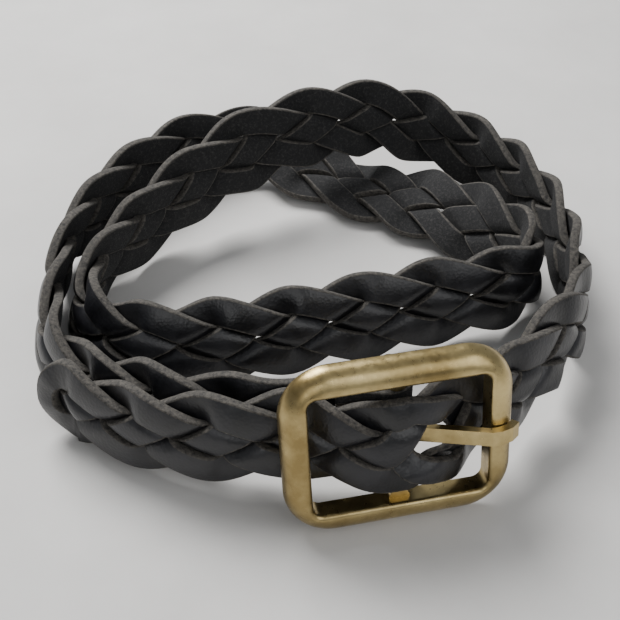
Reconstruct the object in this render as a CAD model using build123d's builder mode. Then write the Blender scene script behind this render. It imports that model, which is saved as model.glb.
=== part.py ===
import math
import os

from build123d import *

os.makedirs("parts", exist_ok=True)

# ---- driving dimensions, millimetres ----
band_width = 15.5          # edge to edge of the flat braid
band_thickness = 3.8       # two layers of lace
lace_thickness = 1.8       # one lace on its own, round the centre bar
lace_gap = 0.1             # between neighbouring laces
buckle_length = 34.2       # outside, toe to heel
buckle_height = 27.9       # outside, rail to rail
buckle_rim = 3.9           # width of the frame all round
buckle_depth = 3.6         # front to back
buckle_corner = 7.5        # outside corner radius
window_corner = 1.6
rim_round = 3.0            # the front rounds off towards the outside
bar_diameter = 2.8         # centre bar
bar_set_back = 4.5         # centre bar behind the plane of the frame
lug_diameter = 3.2         # round lugs that carry the centre bar
lug_offset = 10.2          # middle of the bar to a lug
tongue_width = 2.4
tongue_thickness = 1.2
tongue_eye_bore = 2.94
tongue_eye_outside = 5.5

# ---- where the buckle stands: on its lower rail, tipped back a little ----
buckle_centre = (12.7, -42.6, 13.9)
buckle_turn = 12.0         # degrees about Z
buckle_tip = 14.0          # degrees, top edge towards the middle of the coil

turn = math.radians(buckle_turn)
tip = math.radians(buckle_tip)
along = Vector(math.cos(turn), math.sin(turn), 0)
outward = Vector(
    math.sin(turn) * math.cos(tip), -math.cos(turn) * math.cos(tip), math.sin(tip)
)
buckle_plane = Plane(origin=buckle_centre, x_dir=along, z_dir=outward)


# ---- the band's route, from the end looped on the centre bar to the free tip ----
full = band_thickness
thin = lace_thickness
shut = lace_gap / 2
round_bar = bar_diameter / 2 + 0.12 + lace_thickness / 2
split = 2.6                # laces part this far either side of the tongue's eye
parted = 1.95              # and this far either side of the tongue itself


def inside(p, q, thick=full, slot=shut):
    """A stop in the buckle: p along it, q in front of its plane."""
    spot = buckle_plane.from_local_coords((p, 0, q))
    up = buckle_plane.y_dir
    return [spot.X, spot.Y, spot.Z, up.X, up.Y, up.Z, thick, slot]


def on_loop(angle):
    """A stop on the loop round the centre bar, angle from the toe side."""
    a = math.radians(angle)
    p = round_bar * math.cos(a)
    return inside(p, -bar_set_back + round_bar * math.sin(a), thin, split)


# Stops outside the buckle: x, y, lift of the lowest corner above the table and
# lean in degrees, positive when the top edge goes to the right of travel.
start_run = [
    # the turned-back end, tucked between the two layers of band
    inside(-8.0, -4.9, thin, split),
    inside(-5.5, -4.2, thin, split),
    inside(-3.0, -3.0, thin, split),
]
for angle in (90, 60, 30, 0, -30, -60, -90):
    start_run.append(on_loop(angle))
start_run += [
    inside(-3.5, -7.1, thin + 0.2, split),
    inside(-8.0, -8.0, full - 0.4, 1.6),
    inside(-13.0, -9.1),
    inside(-19.0, -10.9),
]
coil = [
    # inner layer behind the visible front run
    (-18.6, -33.9, 2.6, 9),
    (-28.5, -29.2, 0.7, 7),
    (-37.4, -24.1, 0, 9),
    # left-hand corner and up the left side, outside
    (-42.2, -18.3, 0, 12),
    (-44.4, -8.5, 0, 15),
    (-44.7, 4.5, 0, 13),
    (-41.8, 18.0, 0, 7),
    (-34.8, 30.0, 0, -2),
    # round the back, laid back where the other turn rides over it
    (-24.0, 39.0, 0, -21),
    (-12.8, 43.5, 0, -45),
    (-2.0, 39.8, 0, -69),
    (8.8, 33.3, 0, -84),
    (19.8, 26.9, 0, -70),
    (29.0, 19.0, 0, -47),
    # tight turn back at the right
    (34.6, 12.4, 0, -26),
    (37.8, 8.0, 0, -13),
    (39.4, 4.4, 0, -2),
    (39.1, 1.2, 0, 8),
    (36.4, -1.5, 0, 15),
    (31.3, -3.5, 0, 21),
    # the inner front run
    (20.2, -6.8, 0, 25),
    (7.4, -10.4, 0, 26),
    (-6.6, -14.4, 0, 26),
    (-20.7, -17.0, 0, 24),
    (-32.2, -15.6, 0, 21),
    # inside the left side, then rising over the other turn
    (-38.8, -8.2, 0, 16),
    (-37.1, 3.0, 0.4, 9),
    (-30.8, 13.6, 1.4, 1),
    (-21.2, 22.4, 4.6, -7),
    (-10.2, 29.6, 7.8, -13),
    (1.2, 35.6, 8.2, -16),
    (12.4, 41.0, 6.6, -14),
    (23.8, 43.4, 2.6, -9),
    # down the right side, outside
    (34.4, 38.0, 0.4, -4),
    (42.0, 28.0, 0, 0),
    (46.0, 15.2, 0, 0),
    (46.6, 1.6, 0, 0),
    (46.2, -4.6, 0, 0),
    (44.4, -12.2, 1.5, 8),
    (38.2, -22.0, 4.4, 13),
]
front_run = [
    # under the toe, over the centre bar and the tongue's eye, under the heel
    inside(20.0, -8.3),
    inside(15.5, -5.7, full, 0.8),
    inside(11.5, -3.6, full, parted),
    inside(7.5, -1.2, full, parted),
    inside(3.5, 0.9, full, parted),
    inside(0.0, 1.2, full, parted),
    inside(-3.5, 0.8, full, parted),
    inside(-7.5, -1.2, full, 0.8),
    inside(-11.0, -3.6),
    inside(-15.5, -5.6),
    inside(-19.5, -6.4),
]
free_end = [
    (-20.2, -38.5, 2.6, 9),
    (-30.5, -33.6, 0.7, 7),
    (-39.6, -28.2, 0, 8),
    (-44.3, -25.2, 0, 8),
]
steps_between_stops = 2


def stand(runs, before, after):
    """Turns x, y, lift and lean into a centre and an up direction."""
    stops = []
    for i, (x, y, lift, lean) in enumerate(runs):
        x0, y0 = runs[i - 1][:2] if i else before[:2]
        x1, y1 = runs[i + 1][:2] if i + 1 < len(runs) else after[:2]
        size = math.hypot(x1 - x0, y1 - y0)
        b = math.radians(lean)
        z = lift + band_width / 2 * math.cos(b) + full / 2 * abs(math.sin(b))
        up_x = (y1 - y0) / size * math.sin(b)
        up_y = -(x1 - x0) / size * math.sin(b)
        stops.append([x, y, z, up_x, up_y, math.cos(b), full, shut])
    return stops


def blend(before, start, end, after, gaps, t):
    """Cubic through start and end, with slopes from the neighbours."""
    g0, g1, g2 = gaps
    slope_a = ((start - before) / g0 * g1 + (end - start) / g1 * g0) / (g0 + g1)
    slope_b = ((end - start) / g1 * g2 + (after - end) / g2 * g1) / (g1 + g2)
    h00 = 2 * t**3 - 3 * t**2 + 1
    h10 = t**3 - 2 * t**2 + t
    h01 = 3 * t**2 - 2 * t**3
    h11 = t**3 - t**2
    return h00 * start + h10 * g1 * slope_a + h01 * end + h11 * g1 * slope_b


stops = start_run + stand(coil, start_run[-1], front_run[0]) + front_run
past_tip = (-49.0, -22.2)
stops += stand(free_end, front_run[-1], past_tip)
stops[-1][6] = full - 0.8
stops.insert(0, [2 * a - b for a, b in zip(stops[0], stops[1])])
stops.append([2 * a - b for a, b in zip(stops[-1], stops[-2])])
spread = [math.dist(a[:3], b[:3]) for a, b in zip(stops, stops[1:])]
path = []
for i in range(1, len(stops) - 2):
    for k in range(steps_between_stops):
        t = k / steps_between_stops
        four = zip(stops[i - 1], stops[i], stops[i + 1], stops[i + 2])
        path.append([blend(*f, spread[i - 1 : i + 2], t) for f in four])
path.append(list(stops[-2]))

# Every station: a plane square to the run, its thickness and its slot.
stations = []
for i, (x, y, z, up_x, up_y, up_z, thick, slot) in enumerate(path):
    ahead = path[min(i + 1, len(path) - 1)]
    behind = path[max(i - 1, 0)]
    up = Vector(up_x, up_y, up_z).normalized()
    travel = Vector(*[a - b for a, b in zip(ahead[:3], behind[:3])])
    travel = (travel - up * travel.dot(up)).normalized()
    across = travel.cross(up)
    low = z - up.Z * band_width / 2 - abs(across.Z) * thick / 2
    centre = (x, y, z - min(low, 0))
    plane = Plane(origin=centre, x_dir=across, z_dir=travel * -1)
    stations.append((plane, thick, max(slot, shut)))


def corners(thick, low, high):
    """Outline of one lace between two heights measured across the band."""
    half = thick / 2
    return [(-half, low), (half, low), (half, high), (-half, high)]


def lace_heights(station, number):
    """Lower and upper edge of lace 1 (top) to 4 (bottom) across the band."""
    slot = station[2]
    half = (band_width / 2 - slot - lace_gap) / 2
    inner = (slot, slot + half)
    outer = (slot + half + lace_gap, band_width / 2)
    pick = {1: outer, 2: inner, 3: inner, 4: outer}[number]
    if number <= 2:
        return pick
    return (-pick[1], -pick[0])


laces = {}
for number in (1, 2, 3, 4):
    with BuildPart() as lace:
        for station in stations:
            low, high = lace_heights(station, number)
            with BuildSketch(station[0]):
                with BuildLine():
                    Polyline(*corners(station[1], low, high), close=True)
                make_face()
        loft(ruled=True)
    lace.part.label = f"lace_{number}"
    laces[number] = lace.part
    export_step(lace.part, f"parts/lace_{number}.step")

# ---- buckle frame with its set-back centre bar, one casting ----
outward_axis = Axis(buckle_centre, outward)
with BuildPart() as buckle_frame:
    with BuildSketch(buckle_plane.offset(-buckle_depth / 2)):
        RectangleRounded(buckle_length, buckle_height, buckle_corner)
        RectangleRounded(
            buckle_length - 2 * buckle_rim,
            buckle_height - 2 * buckle_rim,
            window_corner,
            mode=Mode.SUBTRACT,
        )
    extrude(amount=buckle_depth)
    front = buckle_frame.faces().sort_by(outward_axis)[-1]
    fillet(front.outer_wire().edges(), radius=rim_round)
    front = buckle_frame.faces().sort_by(outward_axis)[-1]
    fillet(front.inner_wires()[0].edges(), radius=0.7)
    back = buckle_frame.faces().sort_by(outward_axis)[0]
    fillet(back.outer_wire().edges(), radius=0.5)
    # round-ended lugs reach back from the rails and carry the centre bar
    for side in (-1, 1):
        with BuildSketch(buckle_plane):
            with Locations((0, side * lug_offset)):
                Circle(lug_diameter / 2)
        extrude(amount=-bar_set_back)
        lug_end = buckle_plane.from_local_coords((0, side * lug_offset, -bar_set_back))
        with Locations(lug_end):
            Sphere(lug_diameter / 2)
    bar_foot = buckle_plane.from_local_coords((0, -lug_offset, -bar_set_back))
    with BuildSketch(Plane(origin=bar_foot, x_dir=along, z_dir=buckle_plane.y_dir)):
        Circle(bar_diameter / 2)
    extrude(amount=2 * lug_offset)
buckle_frame.part.label = "buckle_frame"
export_step(buckle_frame.part, "parts/buckle_frame.step")

# ---- tongue: an eye on the centre bar, a flat shank and a tip over the toe ----
tongue_line = [
    (-1.2, -2.35),
    (1.6, -2.2),
    (11.4, 1.9),
    (13.2, 2.65),
    (14.4, 2.65),
    (15.9, 2.2),
    (17.1, 1.2),
]


def strip(points, width):
    """Closed outline of a strip of even width along a bent line."""
    left = []
    rest = []
    for i, (px, py) in enumerate(points):
        ax, ay = points[max(i - 1, 0)]
        bx, by = points[min(i + 1, len(points) - 1)]
        size = math.hypot(bx - ax, by - ay)
        nx, ny = -(by - ay) / size, (bx - ax) / size
        left.append((px + nx * width / 2, py + ny * width / 2))
        rest.append((px - nx * width / 2, py - ny * width / 2))
    return left + rest[::-1]


side_plane = Plane(origin=buckle_centre, x_dir=along, z_dir=buckle_plane.y_dir * -1)
with BuildPart() as tongue:
    with BuildSketch(side_plane):
        with Locations((0, -bar_set_back)):
            Circle(tongue_eye_outside / 2)
        with BuildLine():
            Polyline(*strip(tongue_line, tongue_thickness), close=True)
        make_face()
        with Locations((0, -bar_set_back)):
            Circle(tongue_eye_bore / 2, mode=Mode.SUBTRACT)
    extrude(amount=tongue_width / 2, both=True)
tongue.part.label = "tongue"
export_step(tongue.part, "parts/tongue.step")
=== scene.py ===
import math

import bpy
import numpy as np
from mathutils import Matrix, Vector


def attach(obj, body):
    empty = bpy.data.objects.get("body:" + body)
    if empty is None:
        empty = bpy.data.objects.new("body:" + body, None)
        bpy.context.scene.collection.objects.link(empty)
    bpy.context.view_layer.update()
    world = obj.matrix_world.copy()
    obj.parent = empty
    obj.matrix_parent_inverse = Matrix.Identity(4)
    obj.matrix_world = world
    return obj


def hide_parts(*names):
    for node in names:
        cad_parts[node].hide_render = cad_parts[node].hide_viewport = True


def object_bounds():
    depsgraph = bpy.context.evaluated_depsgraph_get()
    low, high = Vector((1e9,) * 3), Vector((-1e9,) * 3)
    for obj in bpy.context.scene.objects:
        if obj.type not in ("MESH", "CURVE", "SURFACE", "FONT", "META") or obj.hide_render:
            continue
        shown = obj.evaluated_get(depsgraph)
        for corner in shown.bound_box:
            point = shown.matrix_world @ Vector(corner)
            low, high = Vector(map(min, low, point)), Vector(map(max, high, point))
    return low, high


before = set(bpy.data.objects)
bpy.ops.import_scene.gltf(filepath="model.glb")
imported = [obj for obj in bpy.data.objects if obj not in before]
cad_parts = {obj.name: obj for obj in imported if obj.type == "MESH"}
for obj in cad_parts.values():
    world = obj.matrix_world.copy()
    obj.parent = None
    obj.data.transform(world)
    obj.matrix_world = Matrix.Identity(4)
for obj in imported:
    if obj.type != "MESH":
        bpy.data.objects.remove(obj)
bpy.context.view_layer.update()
mm = 0.001


# sRGB hex to the linear values that shaders work in: a straight line near black
# and a 2.4 power above it
def linear(hexColour):
    value = np.array([int(hexColour[i : i + 2], 16) / 255 for i in (1, 3, 5)])
    value = np.where(value <= 0.04045, value / 12.92, ((value + 0.055) / 1.055) ** 2.4)
    return (*value.tolist(), 1.0)


# each vector divided by its own length
def unit(a):
    return a / np.linalg.norm(a, axis=-1, keepdims=True)


# nothing below low, one above high, and a smooth S between them
def ease(x, low, high):
    t = np.clip((x - low) / (high - low), 0, 1)
    return t * t * (3 - 2 * t)


# one at the peak, falling smoothly to nothing at half away
def hump(x, peak, half):
    return 1 - ease(np.abs(x - peak), 0, half)


# Where the buckle stands, and the band's route: all in millimetres and degrees,
# the same stops that the band's solids were built on.
buckle = {
    "centre": (12.7, -42.6, 13.9),
    "turn": 12,           # about the vertical
    "tip": 14,            # top edge towards the middle of the coil
    "barSetBack": 4.5,    # centre bar behind the frame
    "loopRadius": 2.42,   # middle of the lace that goes round the bar
}
turn, tip = math.radians(buckle["turn"]), math.radians(buckle["tip"])
buckleAlong = np.array([math.cos(turn), math.sin(turn), 0])
buckleOut = np.array(
    [math.sin(turn) * math.cos(tip), -math.cos(turn) * math.cos(tip), math.sin(tip)]
)
buckleUp = np.cross(buckleOut, buckleAlong)

band = {
    "width": 15.5,
    "thickness": 3.8,
    "pitch": 12.8,        # from one lobe at the edge to the next
    "hide": 1.85,         # thickness of the leather
    "laceWidth": 4.95,
    "rise": 1.08,         # how far a lace lies above or below the middle
    "seed": 4,
}

coil = [
    # x, y, lift of the lowest corner, lean in degrees to the right of travel
    (-18.6, -33.9, 2.6, 9), (-28.5, -29.2, 0.7, 7), (-37.4, -24.1, 0, 9),
    (-42.2, -18.3, 0, 12), (-44.4, -8.5, 0, 15), (-44.7, 4.5, 0, 13),
    (-41.8, 18.0, 0, 7), (-34.8, 30.0, 0, -2), (-24.0, 39.0, 0, -21),
    (-12.8, 43.5, 0, -45), (-2.0, 39.8, 0, -69), (8.8, 33.3, 0, -84),
    (19.8, 26.9, 0, -70), (29.0, 19.0, 0, -47), (34.6, 12.4, 0, -26),
    (37.8, 8.0, 0, -13), (39.4, 4.4, 0, -2), (39.1, 1.2, 0, 8),
    (36.4, -1.5, 0, 15), (31.3, -3.5, 0, 21), (20.2, -6.8, 0, 25),
    (7.4, -10.4, 0, 26), (-6.6, -14.4, 0, 26), (-20.7, -17.0, 0, 24),
    (-32.2, -15.6, 0, 21), (-38.8, -8.2, 0, 16), (-37.1, 3.0, 0.4, 9),
    (-30.8, 13.6, 1.4, 1), (-21.2, 22.4, 4.6, -7), (-10.2, 29.6, 7.8, -13),
    (1.2, 35.6, 8.2, -16), (12.4, 41.0, 6.6, -14), (23.8, 43.4, 2.6, -9),
    (34.4, 38.0, 0.4, -4), (42.0, 28.0, 0, 0), (46.0, 15.2, 0, 0),
    (46.6, 1.6, 0, 0), (46.2, -4.6, 0, 0), (44.4, -12.2, 1.5, 8),
    (38.2, -22.0, 4.4, 13),
]
freeEnd = [
    (-20.2, -38.5, 2.6, 9), (-30.5, -33.6, 0.7, 7), (-39.6, -28.2, 0, 8),
    (-44.3, -25.2, 0, 8),
]
pastTip = (-49.0, -22.2)
# in the buckle: along it and in front of its plane
turnedEnd = [(-8.0, -4.9), (-5.5, -4.2), (-3.0, -3.0)]
behindBar = [(-3.5, -7.1), (-8.0, -8.0), (-13.0, -9.1), (-19.0, -10.9)]
frontRun = [
    (20.0, -8.3), (15.5, -5.7), (11.5, -3.6), (7.5, -1.2), (3.5, 0.9), (0.0, 1.2),
    (-3.5, 0.8), (-7.5, -1.2), (-11.0, -3.6), (-15.5, -5.6), (-19.5, -6.4),
]
stepsBetweenStops = 12
routeSpacing = 0.5        # between the even points that the laces are laid on
frontRunSpan = (480, 540) # the front run lies between these lengths of band


# stops in the buckle: its centre, plus so much along it and so much in front
def inBuckle(places):
    place = np.array(places)
    spot = (
        np.array(buckle["centre"])
        + place[:, :1] * buckleAlong
        + place[:, 1:] * buckleOut
    )
    return np.hstack([spot, np.repeat(buckleUp[None], len(spot), 0)])


# stops on the table: the lean tips the up direction sideways, and the height is
# what stands a leaning band of this width and thickness on its lowest corner
def onTable(rows, before, after):
    row = np.array(rows, float)
    xy = np.vstack([before[:2], row[:, :2], after[:2]])
    run = unit(xy[2:] - xy[:-2])
    lean = np.radians(row[:, 3])
    up = np.stack(
        [run[:, 1] * np.sin(lean), -run[:, 0] * np.sin(lean), np.cos(lean)], 1
    )
    z = (
        row[:, 2]
        + band["width"] / 2 * np.cos(lean)
        + band["thickness"] / 2 * np.abs(np.sin(lean))
    )
    return np.column_stack([row[:, :2], z, up])


# a cubic through every stop, its slopes weighted by the gaps on either side
def throughStops(stops, steps):
    stops = np.vstack([2 * stops[0] - stops[1], stops, 2 * stops[-1] - stops[-2]])
    gap = np.linalg.norm(np.diff(stops[:, :3], axis=0), axis=1)[:, None]
    step = np.diff(stops, axis=0)
    slope = (step[:-1] / gap[:-1] * gap[1:] + step[1:] / gap[1:] * gap[:-1]) / (
        gap[:-1] + gap[1:]
    )
    a, b = stops[1:-2, None], stops[2:-1, None]
    slopeA, slopeB = slope[:-1, None], slope[1:, None]
    g = gap[1:-1, None]
    t = (np.arange(steps) / steps)[None, :, None]
    line = (
        (2 * t**3 - 3 * t**2 + 1) * a
        + (t**3 - 2 * t**2 + t) * g * slopeA
        + (3 * t**2 - 2 * t**3) * b
        + (t**3 - t**2) * g * slopeB
    )
    return np.vstack([line.reshape(-1, stops.shape[1]), stops[-2:-1]])


angle = np.radians(np.arange(90, -91, -30))
barLoop = np.column_stack(
    [
        buckle["loopRadius"] * np.cos(angle),
        buckle["loopRadius"] * np.sin(angle) - buckle["barSetBack"],
    ]
)
startStops = inBuckle(turnedEnd + barLoop.tolist() + behindBar)
runStops = inBuckle(frontRun)
coilStops = onTable(coil, startStops[-1], runStops[0])
endStops = onTable(freeEnd, runStops[-1], pastTip)
stops = np.vstack([startStops, coilStops, runStops, endStops])
route = throughStops(stops, stepsBetweenStops)
routeS = np.concatenate(
    [[0], np.cumsum(np.linalg.norm(np.diff(route[:, :3], axis=0), axis=1))]
)
bandLength = routeS[-1]
even = np.arange(0, bandLength, routeSpacing)
route = np.column_stack([np.interp(even, routeS, route[:, c]) for c in range(6)])
middle = route[:, :3]
ahead = unit(np.gradient(middle, axis=0))
upward = unit(route[:, 3:] - ahead * np.sum(route[:, 3:] * ahead, 1, keepdims=True))
outward = np.cross(upward, ahead)


# a direction or place of the route at any distance s, straight between even points
def sample(field, s):
    flat = s.ravel()
    out = np.column_stack([np.interp(flat, even, field[:, c]) for c in range(3)])
    return out.reshape(*s.shape, 3)


# a point of the band: s along it, y up across it, z towards the outer face;
# beyond either end it goes straight on
def onBand(s, y, z):
    over = np.clip(s - even[-1], 0, None) + np.clip(s, None, 0)
    point = (
        sample(middle, s)
        + over[..., None] * sample(ahead, s)
        + y[..., None] * sample(upward, s)
        + z[..., None] * sample(outward, s)
    )
    return point * mm


# how far along the front run the band passes a place p along the buckle
def alongFrontRun(p):
    here = (middle - np.array(buckle["centre"])) @ buckleAlong
    pick = (even > frontRunSpan[0]) & (even < frontRunSpan[1])
    return even[pick][np.argmin(np.abs(here[pick] - p))]


# The weave of four flat laces.
weave = {
    "rowsUntil": 24.0,        # round the centre bar the laces lie side by side
    "wovenFrom": 46.0,
    "rowWidth": 2.5,
    "rows": (6.4, 3.85, -3.85, -6.4),   # two above the tongue's eye, two below
    "turnSharp": 0.93,        # 1 would be a straight zigzag
    "pressed": 1.9,           # higher lies flatter over each crossing
    "curl": 0.055,            # how far a lace rolls as it rounds an edge
    "loosePitch": 0.35,       # spread of the lobes' places along the band
    "looseReach": 0.22,       # and of how far out they come
    # size and length of the small waves that hand weaving leaves in a lace:
    "waver": (0.10, 5.9),     # from side to side
    "swell": (0.035, 6.3),    # in its width, as a part of it
    "ripples": ((0.07, 3.1), (0.05, 1.7)),   # in and out
    "step": 0.7,              # between the lace's own sections
}
hole = {
    "at": 4.9,                # where the tongue comes through, along the buckle
    "opens": 2.3,             # how far the laces move aside for it
    "half": 9.0,
    "parting": 0.7,           # smaller opens it squarer
    "narrows": 0.2,           # how much the laces are squeezed there
    "stretch": 0.2,           # how much the crossings beside it move apart
    "stretchHalf": 11,
}
rim = {
    "length": 4.6,            # how far the last lobe reaches past its turn
    "curl": (0.02, 1.12),     # the part of a half circle that it goes round
    "curlStep": 0.045,
    "out": 0.8,               # how far it rises over the others
    "under": 1.7,             # and then goes down behind them
    "pinch": 0.32,            # narrower at the far end of the curl
    "others": -0.85,          # where the other three laces end, under it
    "short": 2.2,             # how much sooner they end
}
tongueHole = alongFrontRun(hole["at"])
print("band", round(bandLength, 1), "mm, tongue comes through at", tongueHole)

pitch = band["pitch"]
reach = band["width"] / 2 - band["laceWidth"] / 2
phase = 0.5 - (tongueHole + 0.2) / pitch
chance = np.random.default_rng(band["seed"])
lobeCount = int(bandLength / pitch) + 4
lobeShift = chance.normal(0, weave["loosePitch"], lobeCount)
lobeReach = chance.normal(0, weave["looseReach"], (4, lobeCount))
lobePhase = chance.uniform(0, 2 * np.pi, (4, 6))


# turns made by lace k: distance over pitch, one turn more for each lace, moved a
# little by chance and drawn out on both sides of the tongue's hole
def turnsOf(s, k):
    shift = np.interp(s / pitch, np.arange(lobeCount), lobeShift)
    away = s - tongueHole
    shift = shift - hole["stretch"] * away * np.exp(-((away / hole["stretchHalf"]) ** 2))
    return (s + shift) / pitch + phase + k


# zigzag across the band, +1 at the top edge and -1 at the bottom edge: the
# arcsine of a slightly shortened cosine, which rounds the corners off
def zigzag(turns):
    c = weave["turnSharp"]
    return np.arcsin(c * np.cos(np.pi / 2 * turns)) / np.arcsin(c)


# +1 over and -1 under: under, over, under going down, then over, under, over
# coming up, each half a turn apart and changing side as it rounds an edge
def overUnder(turns):
    q = np.mod(turns + 0.5, 4) - 0.5
    side = np.where(
        q < 0.5,
        -np.sin(np.pi * q),
        np.where(
            q < 1.5,
            np.cos(2 * np.pi * q),
            np.where(q < 2.5, np.sin(np.pi * (q - 2)), -np.cos(2 * np.pi * q)),
        ),
    )
    b = weave["pressed"]
    return np.tanh(b * side) / math.tanh(b)


# the lace's outline in millimetres, round from the outer face: how much of the
# half width, how far past it, and the height above the lace's middle. The outer
# face is slightly domed, the corners are rounded, the cut edges bulge a little.
def outline():
    half, corner, dome, hollow, bulge = band["hide"] / 2, 0.3, 0.2, 0.08, 1.2
    face = np.linspace(-1, 1, 7)
    a = np.radians([30, 60, 90])
    top = half - dome - corner * (1 - np.cos(a))
    low = -(half - hollow) + corner * (1 - np.cos(a[::-1]))
    side = corner * np.concatenate([np.sin(a), [bulge], np.sin(a[::-1])])
    sideHeight = np.concatenate([top, [0], low])
    base = np.concatenate([face, np.ones(7), face[::-1], -np.ones(7)])
    past = np.concatenate([0 * face, side, 0 * face, -side[::-1]])
    height = np.concatenate(
        [
            half - dome * face**2,
            sideHeight,
            -(half - hollow * face**2),
            sideHeight[::-1],
        ]
    )
    part = np.array([0] * 6 + [1] * 8 + [2] * 6 + [1] * 8)
    return base, past, height, part, corner


# The middle line of one lace on the flat band: s along it and y across it, by the
# zigzag. "own" is how far it leaves the weave for a level of its own, as it does
# where the last lobe curls round the free tip and where the others end under it.
def laceCourse(k):
    s = np.arange(0, rimStart if k == rimLace else lastS - rim["short"], weave["step"])
    turns = turnsOf(s, k)
    spread = reach + np.interp(s / pitch, np.arange(lobeCount), lobeReach[k])
    y = spread * zigzag(turns)
    if k == rimLace:
        # half an ellipse round the tip, then down and tucked under
        theta = np.arange(*rim["curl"], rim["curlStep"]) * np.pi
        over = ease(theta, 0, 1.0) * rim["out"] - ease(theta, 1.7, 2.9) * rim["under"]
        level = np.append(0 * s, over)
        own = np.append(0 * s, ease(theta, 0, 0.9))
        s = np.append(s, rimStart + rimLength * np.sin(theta))
        y = np.append(y, y[-1] * np.cos(theta) * (1 - 0.1 * ease(theta, 2, 3.4)))
        turns = np.append(turns, turns[-1] + 0 * theta)
    else:
        # cut off inside that ellipse
        keep = ((s - rimStart) / rimLength) ** 2 + (y / reach) ** 2 < 0.8
        keep |= s < rimStart
        stop = len(s) if keep.all() else np.argmin(keep)
        s, y, turns = s[:stop], y[:stop], turns[:stop]
        own = ease(s, rimStart - 1.5, rimStart + 2.5)
        level = 0 * s + rim["others"]
    woven = ease(s, weave["rowsUntil"], weave["wovenFrom"])
    y = woven * y + (1 - woven) * rowHeights[k]
    opened = np.minimum(1, 1.5 * hump(s, tongueHole, hole["half"]))
    y = y + opened * hole["opens"] * np.tanh(y / hole["parting"])
    w = lobePhase[k]
    waver, waverLength = weave["waver"]
    y = y + waver * np.sin(s / waverLength + w[0]) * woven
    swell, swellLength = weave["swell"]
    width = band["laceWidth"] * (1 + swell * np.sin(s / swellLength + w[1]))
    width = width * (1 - hole["narrows"] * opened)
    if k == rimLace:
        width[-len(theta) :] *= 1 - rim["pinch"] * np.sin(np.clip(theta, 0, np.pi))
    width = woven * width + (1 - woven) * weave["rowWidth"]
    (slow, slowLength), (quick, quickLength) = weave["ripples"]
    lift = slow * np.sin(s / slowLength + w[2]) + quick * np.sin(s / quickLength + w[3])
    return s, y, turns, width, level, own, woven, lift * woven


# The outline carried along the lace's middle line, square to it on the flat band,
# raised where it goes over and lowered where it goes under, and then laid on the
# band's route.
def makeLace(k, materials):
    s, y, turns, width, level, own, woven, lift = laceCourse(k)
    run = unit(np.stack([np.gradient(s), np.gradient(y)], 1))
    base, past, height, part, corner = outline()
    across = base[None] * (width[:, None] / 2 - corner) + past[None]
    pointS = s[:, None] - run[:, 1:] * across
    pointY = y[:, None] + run[:, :1] * across
    # over or under is read where the crossing lace lies, so that edges meet
    falling = -np.clip(1.6 * np.sin(np.pi / 2 * turns), -1, 1)[:, None]
    steepest = reach * np.pi / 2 / math.asin(weave["turnSharp"]) * weave["turnSharp"]
    skew = (pointS - s[:, None]) / (2 * pitch)
    skew = skew + falling * (pointY - y[:, None]) / (2 * steepest)
    side = overUnder(turns[:, None] + skew)
    side = side * (1 - own[:, None]) + (own * level)[:, None]
    # at a turn the outer edge of the lace is stretched down, the inner one stands
    roll = np.cos(np.pi / 2 * turns)[:, None] * (1 - own[:, None])
    curl = -weave["curl"] * roll * np.abs(roll) * (pointY - y[:, None])
    pointZ = band["rise"] * woven[:, None] * side + curl * woven[:, None]
    pointZ = pointZ + lift[:, None] + height[None]
    point = onBand(pointS, pointY, pointZ)
    rows, ring = pointS.shape
    i, j = np.meshgrid(np.arange(rows - 1), np.arange(ring), indexing="ij")
    jNext = (j + 1) % ring
    quads = np.stack(
        [i * ring + j, i * ring + jNext, (i + 1) * ring + jNext, (i + 1) * ring + j], -1
    ).reshape(-1, 4)
    kinds = part[j.ravel()]
    verts = point.reshape(-1, 3)
    ends = [np.arange(ring)[::-1], (rows - 1) * ring + np.arange(ring)]
    # faces point outwards: a negative volume means that they all have to turn
    a, b, c, d = (verts[quads[:, n]] for n in range(4))
    volume = np.sum(a * np.cross(b, c)) + np.sum(a * np.cross(c, d))
    if volume < 0:
        quads = quads[:, ::-1]
        ends = [e[::-1] for e in ends]
    faces = quads.tolist() + [e.tolist() for e in ends]
    mesh = bpy.data.meshes.new(f"wovenLace{k + 1}")
    mesh.from_pydata(verts.tolist(), [], faces)
    kinds = np.append(kinds, [1, 1]).astype(np.int32)
    for material in materials:
        mesh.materials.append(material)
    mesh.polygons.foreach_set("material_index", kinds)
    mesh.polygons.foreach_set("use_smooth", np.ones(len(faces), bool))
    # the lace's own map: metres along it and across it
    length = np.append(0, np.cumsum(np.hypot(np.diff(s), np.diff(y))))
    flat = np.stack([np.repeat(length[:, None], ring, 1), across], -1) * mm
    corners = np.zeros(len(mesh.loops), np.int32)
    mesh.loops.foreach_get("vertex_index", corners)
    layer = mesh.uv_layers.new(name="alongLace")
    layer.data.foreach_set("uv", flat.reshape(-1, 2)[corners].ravel())
    mesh.update()
    lace = bpy.data.objects.new(mesh.name, mesh)
    bpy.context.scene.collection.objects.link(lace)
    return lace


# the last lobe: the lace that reaches the top edge where its curl ends the band
rimLength = rim["length"]
near = np.arange(bandLength - 30, bandLength, 0.05)
found = []
for k in range(4):
    top = near[np.argmax(zigzag(turnsOf(near, k)))]
    found.append((abs(top + rimLength + band["laceWidth"] / 2 - bandLength), top, k))
_, rimStart, rimLace = min(found)
lastS = rimStart + rimLength + band["laceWidth"] / 2
# each lace takes the row nearest to where its zigzag comes out of the loop
outOfLoop = np.array([36.0])
orderAt = np.array([zigzag(turnsOf(outOfLoop, k))[0] for k in range(4)])
rowHeights = np.array(weave["rows"])[np.argsort(np.argsort(-orderAt))]
print("last lobe on lace", rimLace + 1, "band ends at", round(lastS, 1))


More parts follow.
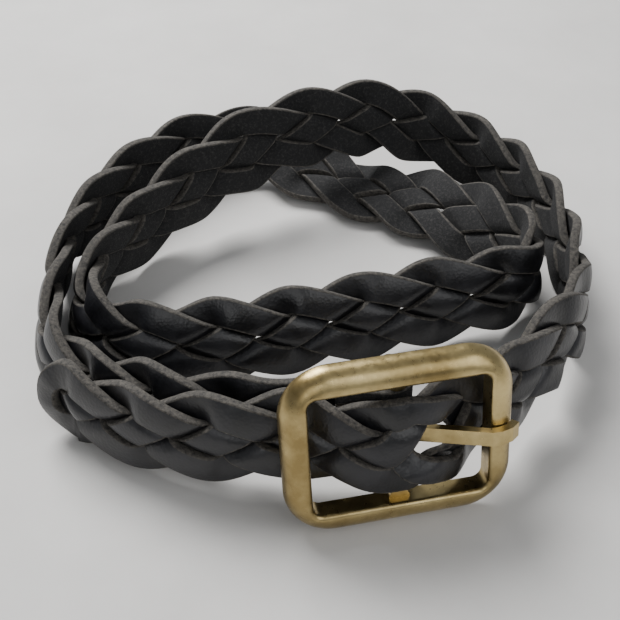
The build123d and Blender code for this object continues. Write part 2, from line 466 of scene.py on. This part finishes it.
# adds a node, sets its sockets and a ramp's stops, and links others into it
def add(tree, kind, settings=None, links=None, stops=(), **own):
    node = tree.nodes.new(kind)
    for name, value in own.items():
        setattr(node, name, value)
    for name, value in (settings or {}).items():
        node.inputs[name].default_value = value
    for name, source in (links or {}).items():
        tree.links.new(source, node.inputs[name])
    for n, (position, colour) in enumerate(stops):
        node.color_ramp.elements[n].position = position
        node.color_ramp.elements[n].color = colour
    return node


def newMaterial(name):
    material = bpy.data.materials.new(name)
    material.use_nodes = True
    tree = material.node_tree
    return material, tree, tree.nodes["Principled BSDF"]


def grey(value):
    return (value, value, value, 1)


# Drum-dyed vegetable-tanned cowhide, waxed and rolled: near black, with a broad
# soft sheen from the wax, fine pores, and creases across where it was pulled.
# Sizes and depths are in millimetres; pores and creases are drawn coarser than
# real ones, so that they show.
leather = {
    "dark": "#0c0c0e",
    "worn": "#212125",
    "patch": 6.0,
    "sheen": (0.3, 0.47),
    "pore": 0.5,
    "poreDepth": 0.08,
    "crease": 1.6,
    "creaseDepth": 0.16,
}


def grainMaterial():
    material, tree, shader = newMaterial("waxedGrain")
    laceMap = add(tree, "ShaderNodeUVMap", uv_map="alongLace")
    place = add(tree, "ShaderNodeTexCoord")
    stretch = add(
        tree,
        "ShaderNodeMapping",
        {"Scale": (1, 0.3, 1)},
        {"Vector": laceMap.outputs[0]},
    )
    patch = add(
        tree,
        "ShaderNodeTexNoise",
        {"Scale": 1 / (leather["patch"] * mm), "Detail": 4, "Roughness": 0.6},
        {"Vector": place.outputs["Object"]},
    )
    colour = add(
        tree,
        "ShaderNodeValToRGB",
        links={"Fac": patch.outputs[0]},
        stops=[(0.38, linear(leather["dark"])), (0.72, linear(leather["worn"]))],
    )
    tree.links.new(colour.outputs[0], shader.inputs["Base Color"])
    smooth, dull = leather["sheen"]
    gloss = add(
        tree,
        "ShaderNodeValToRGB",
        links={"Fac": patch.outputs[0]},
        stops=[(0.3, grey(smooth)), (0.75, grey(dull))],
    )
    tree.links.new(gloss.outputs[0], shader.inputs["Roughness"])
    pore = add(
        tree,
        "ShaderNodeTexVoronoi",
        {"Scale": 1 / (leather["pore"] * mm)},
        {"Vector": place.outputs["Object"]},
    )
    crease = add(
        tree,
        "ShaderNodeTexNoise",
        {"Scale": 1 / (leather["crease"] * mm), "Detail": 3, "Roughness": 0.55},
        {"Vector": stretch.outputs[0]},
    )
    fine = add(
        tree,
        "ShaderNodeBump",
        {"Strength": 0.35, "Distance": leather["poreDepth"] * mm},
        {"Height": pore.outputs["Distance"]},
    )
    rough = add(
        tree,
        "ShaderNodeBump",
        {"Strength": 0.5, "Distance": leather["creaseDepth"] * mm},
        {"Height": crease.outputs[0], "Normal": fine.outputs[0]},
    )
    tree.links.new(rough.outputs[0], shader.inputs["Normal"])
    return material


# The lace's cut edge: raw fibres, dyed through but paler and dull, a little dusty.
# The flesh side: split fibres, matt black with pale specks where they lift. Both
# are one fine noise, in the colour and in the bump.
cutEdge = {
    "dark": (0.36, "#1d1c1b"),
    "pale": (0.74, "#5f5a53"),
    "roughness": 0.86,
    "fibre": 0.6,
    "noise": {"Detail": 6, "Roughness": 0.75},
    "depth": 0.2,
    "strength": 0.8,
}
fleshSide = {
    "dark": (0.5, "#161617"),
    "pale": (0.8, "#4c4a48"),
    "roughness": 0.92,
    "fibre": 0.5,
    "noise": {"Detail": 8, "Roughness": 0.8},
    "depth": 0.3,
    "strength": 0.9,
}


def fibreMaterial(name, look):
    material, tree, shader = newMaterial(name)
    place = add(tree, "ShaderNodeTexCoord")
    fibre = add(
        tree,
        "ShaderNodeTexNoise",
        {"Scale": 1 / (look["fibre"] * mm), **look["noise"]},
        {"Vector": place.outputs["Object"]},
    )
    colour = add(
        tree,
        "ShaderNodeValToRGB",
        links={"Fac": fibre.outputs[0]},
        stops=[(at, linear(hue)) for at, hue in (look["dark"], look["pale"])],
    )
    tree.links.new(colour.outputs[0], shader.inputs["Base Color"])
    shader.inputs["Roughness"].default_value = look["roughness"]
    bump = add(
        tree,
        "ShaderNodeBump",
        {"Strength": look["strength"], "Distance": look["depth"] * mm},
        {"Height": fibre.outputs[0]},
    )
    tree.links.new(bump.outputs[0], shader.inputs["Normal"])
    return material


# Die-cast zinc with an antiqued brass plating, satin brushed: warm and soft, with
# darker lacquer left in places and fine scratches, drawn coarse enough to show.
brass = {
    "bright": "#c9b582",
    "aged": "#8d7a50",
    "satin": (0.25, 0.38),
    "patch": 9.0,
    "scratch": 0.9,
    "scratchDepth": 0.06,
}


def brassMaterial():
    material, tree, shader = newMaterial("antiquedBrass")
    place = add(tree, "ShaderNodeTexCoord")
    patch = add(
        tree,
        "ShaderNodeTexNoise",
        {"Scale": 1 / (brass["patch"] * mm), "Detail": 5, "Roughness": 0.6},
        {"Vector": place.outputs["Object"]},
    )
    scratch = add(
        tree,
        "ShaderNodeTexNoise",
        {"Scale": 1 / (brass["scratch"] * mm), "Detail": 4, "Roughness": 0.7},
        {"Vector": place.outputs["Object"]},
    )
    colour = add(
        tree,
        "ShaderNodeValToRGB",
        links={"Fac": patch.outputs[0]},
        stops=[(0.35, linear(brass["aged"])), (0.68, linear(brass["bright"]))],
    )
    tree.links.new(colour.outputs[0], shader.inputs["Base Color"])
    shader.inputs["Metallic"].default_value = 1
    smooth, dull = brass["satin"]
    gloss = add(
        tree,
        "ShaderNodeValToRGB",
        links={"Fac": scratch.outputs[0]},
        stops=[(0.3, grey(smooth)), (0.7, grey(dull))],
    )
    tree.links.new(gloss.outputs[0], shader.inputs["Roughness"])
    bump = add(
        tree,
        "ShaderNodeBump",
        {"Strength": 0.25, "Distance": brass["scratchDepth"] * mm},
        {"Height": scratch.outputs[0]},
    )
    tree.links.new(bump.outputs[0], shader.inputs["Normal"])
    return material


laceMaterials = [
    grainMaterial(),
    fibreMaterial("cutEdge", cutEdge),
    fibreMaterial("fleshSide", fleshSide),
]
metal = brassMaterial()
for k in range(4):
    lace = makeLace(k, laceMaterials)
    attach(lace, "band")
    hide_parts(f"lace_{k + 1}")
    print("wove", lace.name, len(lace.data.vertices), "points")
for name in ("buckle_frame", "tongue"):
    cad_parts[name].data.materials.clear()
    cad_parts[name].data.materials.append(metal)

# The table, the lights and the camera. A lamp is where it hangs, what it points
# at, how wide it is and its watts; lengths here are in metres.
room = {
    "floor": "#cfcdca",
    "floorShade": "#c4c2bf",
    "cloud": 30.0,            # millimetres
    "side": 3.0,
    "sky": "#d9dde2",
    "skyStrength": 0.4,
    "lamps": {
        "keyLight": ((-0.22, 0.30, 0.46), (0, 0, 0), 0.32, 7.0),
        "fillLight": ((0.40, -0.35, 0.45), (0, 0, 0), 0.5, 1.5),
        "frontLight": ((-0.10, -0.50, 0.33), (0, -0.01, 0.01), 0.30, 0.5),
    },
    "lens": 61,
    "eye": (0, -0.1399, 0.1300),
}


# painted board: matt, with a faint broad clouding
def floorMaterial():
    material, tree, shader = newMaterial("paleTable")
    place = add(tree, "ShaderNodeTexCoord")
    cloud = add(
        tree,
        "ShaderNodeTexNoise",
        {"Scale": 1 / (room["cloud"] * mm), "Detail": 5, "Roughness": 0.6},
        {"Vector": place.outputs["Object"]},
    )
    colour = add(
        tree,
        "ShaderNodeValToRGB",
        links={"Fac": cloud.outputs[0]},
        stops=[(0.3, linear(room["floorShade"])), (0.7, linear(room["floor"]))],
    )
    tree.links.new(colour.outputs[0], shader.inputs["Base Color"])
    shader.inputs["Roughness"].default_value = 0.9
    return material


low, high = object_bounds()
half = room["side"] / 2
floorMesh = bpy.data.meshes.new("table")
floorMesh.from_pydata(
    [(-half, -half, 0), (half, -half, 0), (half, half, 0), (-half, half, 0)],
    [],
    [(0, 1, 2, 3)],
)
floorMesh.materials.append(floorMaterial())
table = bpy.data.objects.new("table", floorMesh)
table.location.z = min(low.z, 0) - 0.0001
bpy.context.scene.collection.objects.link(table)

for name, (place, aim, size, watts) in room["lamps"].items():
    light = bpy.data.lights.new(name, "AREA")
    light.shape = "SQUARE"
    light.size = size
    light.energy = watts
    lamp = bpy.data.objects.new(name, light)
    lamp.location = place
    lamp.rotation_euler = (Vector(aim) - Vector(place)).to_track_quat("-Z", "Y").to_euler()
    bpy.context.scene.collection.objects.link(lamp)

world = bpy.data.worlds.new("softRoom")
world.use_nodes = True
sky = world.node_tree.nodes["Background"]
sky.inputs["Color"].default_value = linear(room["sky"])
sky.inputs["Strength"].default_value = room["skyStrength"]
bpy.context.scene.world = world

lens = bpy.data.cameras.new("camera")
lens.lens = room["lens"]
lens.sensor_width = 36
lens.clip_start = 0.01
camera = bpy.data.objects.new("camera", lens)
camera.location = room["eye"]
camera.rotation_euler = (-Vector(camera.location)).to_track_quat("-Z", "Y").to_euler()
bpy.context.scene.collection.objects.link(camera)
bpy.context.scene.camera = camera
print("lit")
